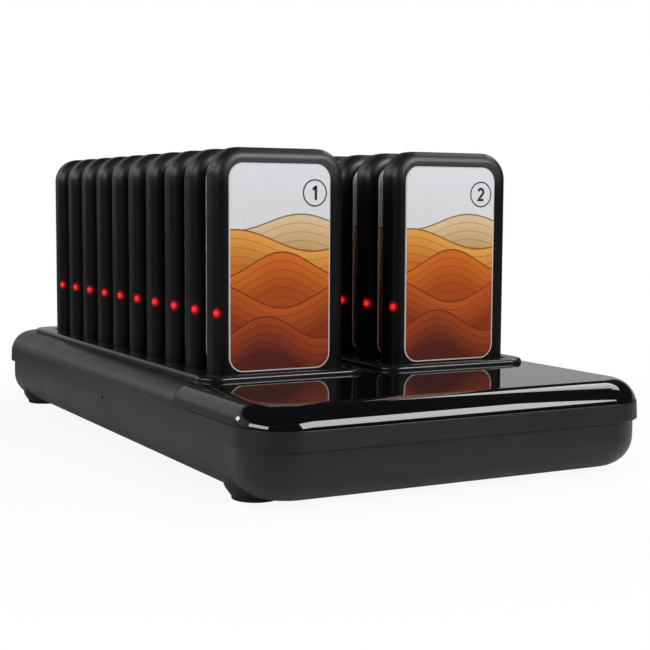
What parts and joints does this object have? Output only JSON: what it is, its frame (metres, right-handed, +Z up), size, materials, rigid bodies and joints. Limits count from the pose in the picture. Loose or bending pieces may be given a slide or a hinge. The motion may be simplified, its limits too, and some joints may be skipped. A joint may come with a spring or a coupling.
{
  "type": "guest pager system",
  "caption": "Low charging base with a glossy front panel and rows of upright slots, each holding a flat rounded pager with a printed label.",
  "frame": {"origin": "centre of the base's footprint, on the surface it stands on", "axes": "+X to the right seen from the front, +Y towards the rear, +Z up"},
  "size_m": [0.1856, 0.339, 0.1339],
  "materials": {
    "case_plastic": "fine matt",
    "tray_plastic": "satin",
    "panel_gloss": "piano gloss",
    "pager_plastic": "satin gloss",
    "label_print": "printed, clear coat",
    "board_green": "solder mask",
    "contact_metal": "plated",
    "wire_metal": "insulated wire",
    "port_plastic": "moulded",
    "foot_rubber": "matt",
    "screw_steel": "zinc plated",
    "battery_wrap": "foil wrap",
    "lens_red": "clear red"
  },
  "bodies": {
    "base": {"lower_case": "case_plastic", "upper_case": "case_plastic", "touch_panel": "panel_gloss", "slot_tray_left": "tray_plastic", "slot_tray_right": "tray_plastic", "charging_board": "board_green", "charging_contacts": "contact_metal", "control_board": "board_green", "antenna": "wire_metal", "dc_jack": "port_plastic", "power_switch_frame": "port_plastic", "rubber_feet": "foot_rubber", "case_screws": "screw_steel"},
    "power_rocker": {"power_rocker": "port_plastic"},
    "pager_01": {"pager_01_front_shell": "pager_plastic", "pager_01_rear_shell": "pager_plastic", "pager_01_label": "label_print", "pager_01_circuit_board": "board_green", "pager_01_battery": "battery_wrap", "pager_01_vibration_motor": "screw_steel", "pager_01_light_lens": "lens_red", "pager_01_charge_plates": "contact_metal"},
    "pager_02": {"pager_02_case": "pager_plastic", "pager_02_label": "label_print"},
    "pager_03": {"pager_03_case": "pager_plastic", "pager_03_label": "label_print"},
    "pager_04": {"pager_04_case": "pager_plastic", "pager_04_label": "label_print"},
    "pager_05": {"pager_05_case": "pager_plastic", "pager_05_label": "label_print"},
    "pager_06": {"pager_06_case": "pager_plastic", "pager_06_label": "label_print"},
    "pager_07": {"pager_07_case": "pager_plastic", "pager_07_label": "label_print"},
    "pager_08": {"pager_08_case": "pager_plastic", "pager_08_label": "label_print"},
    "pager_09": {"pager_09_case": "pager_plastic", "pager_09_label": "label_print"},
    "pager_10": {"pager_10_case": "pager_plastic", "pager_10_label": "label_print"},
    "pager_11": {"pager_11_case": "pager_plastic", "pager_11_label": "label_print"},
    "pager_12": {"pager_12_case": "pager_plastic", "pager_12_label": "label_print"},
    "pager_13": {"pager_13_case": "pager_plastic", "pager_13_label": "label_print"},
    "pager_14": {"pager_14_case": "pager_plastic", "pager_14_label": "label_print"},
    "pager_15": {"pager_15_case": "pager_plastic", "pager_15_label": "label_print"},
    "pager_16": {"pager_16_case": "pager_plastic", "pager_16_label": "label_print"},
    "pager_17": {"pager_17_case": "pager_plastic", "pager_17_label": "label_print"},
    "pager_18": {"pager_18_case": "pager_plastic", "pager_18_label": "label_print"},
    "pager_19": {"pager_19_case": "pager_plastic", "pager_19_label": "label_print"},
    "pager_20": {"pager_20_case": "pager_plastic", "pager_20_label": "label_print"}
  },
  "joints": [
    {"name": "power_rocker_tilt", "type": "hinge", "parent": "base", "child": "power_rocker", "pos_m": [0.05, 0.1599, 0.013], "axis": [0, 0, 1], "range_deg": [0, 20]},
    {"name": "pager_01_lift", "type": "slide", "parent": "base", "child": "pager_01", "axis": [0, 0, 1], "range_m": [0, 0.11]},
    {"name": "pager_02_lift", "type": "slide", "parent": "base", "child": "pager_02", "axis": [0, 0, 1], "range_m": [0, 0.11]},
    {"name": "pager_03_lift", "type": "slide", "parent": "base", "child": "pager_03", "axis": [0, 0, 1], "range_m": [0, 0.11]},
    {"name": "pager_04_lift", "type": "slide", "parent": "base", "child": "pager_04", "axis": [0, 0, 1], "range_m": [0, 0.11]},
    {"name": "pager_05_lift", "type": "slide", "parent": "base", "child": "pager_05", "axis": [0, 0, 1], "range_m": [0, 0.11]},
    {"name": "pager_06_lift", "type": "slide", "parent": "base", "child": "pager_06", "axis": [0, 0, 1], "range_m": [0, 0.11]},
    {"name": "pager_07_lift", "type": "slide", "parent": "base", "child": "pager_07", "axis": [0, 0, 1], "range_m": [0, 0.11]},
    {"name": "pager_08_lift", "type": "slide", "parent": "base", "child": "pager_08", "axis": [0, 0, 1], "range_m": [0, 0.11]},
    {"name": "pager_09_lift", "type": "slide", "parent": "base", "child": "pager_09", "axis": [0, 0, 1], "range_m": [0, 0.11]},
    {"name": "pager_10_lift", "type": "slide", "parent": "base", "child": "pager_10", "axis": [0, 0, 1], "range_m": [0, 0.11]},
    {"name": "pager_11_lift", "type": "slide", "parent": "base", "child": "pager_11", "axis": [0, 0, 1], "range_m": [0, 0.11]},
    {"name": "pager_12_lift", "type": "slide", "parent": "base", "child": "pager_12", "axis": [0, 0, 1], "range_m": [0, 0.11]},
    {"name": "pager_13_lift", "type": "slide", "parent": "base", "child": "pager_13", "axis": [0, 0, 1], "range_m": [0, 0.11]},
    {"name": "pager_14_lift", "type": "slide", "parent": "base", "child": "pager_14", "axis": [0, 0, 1], "range_m": [0, 0.11]},
    {"name": "pager_15_lift", "type": "slide", "parent": "base", "child": "pager_15", "axis": [0, 0, 1], "range_m": [0, 0.11]},
    {"name": "pager_16_lift", "type": "slide", "parent": "base", "child": "pager_16", "axis": [0, 0, 1], "range_m": [0, 0.11]},
    {"name": "pager_17_lift", "type": "slide", "parent": "base", "child": "pager_17", "axis": [0, 0, 1], "range_m": [0, 0.11]},
    {"name": "pager_18_lift", "type": "slide", "parent": "base", "child": "pager_18", "axis": [0, 0, 1], "range_m": [0, 0.11]},
    {"name": "pager_19_lift", "type": "slide", "parent": "base", "child": "pager_19", "axis": [0, 0, 1], "range_m": [0, 0.11]},
    {"name": "pager_20_lift", "type": "slide", "parent": "base", "child": "pager_20", "axis": [0, 0, 1], "range_m": [0, 0.11]}
  ]
}
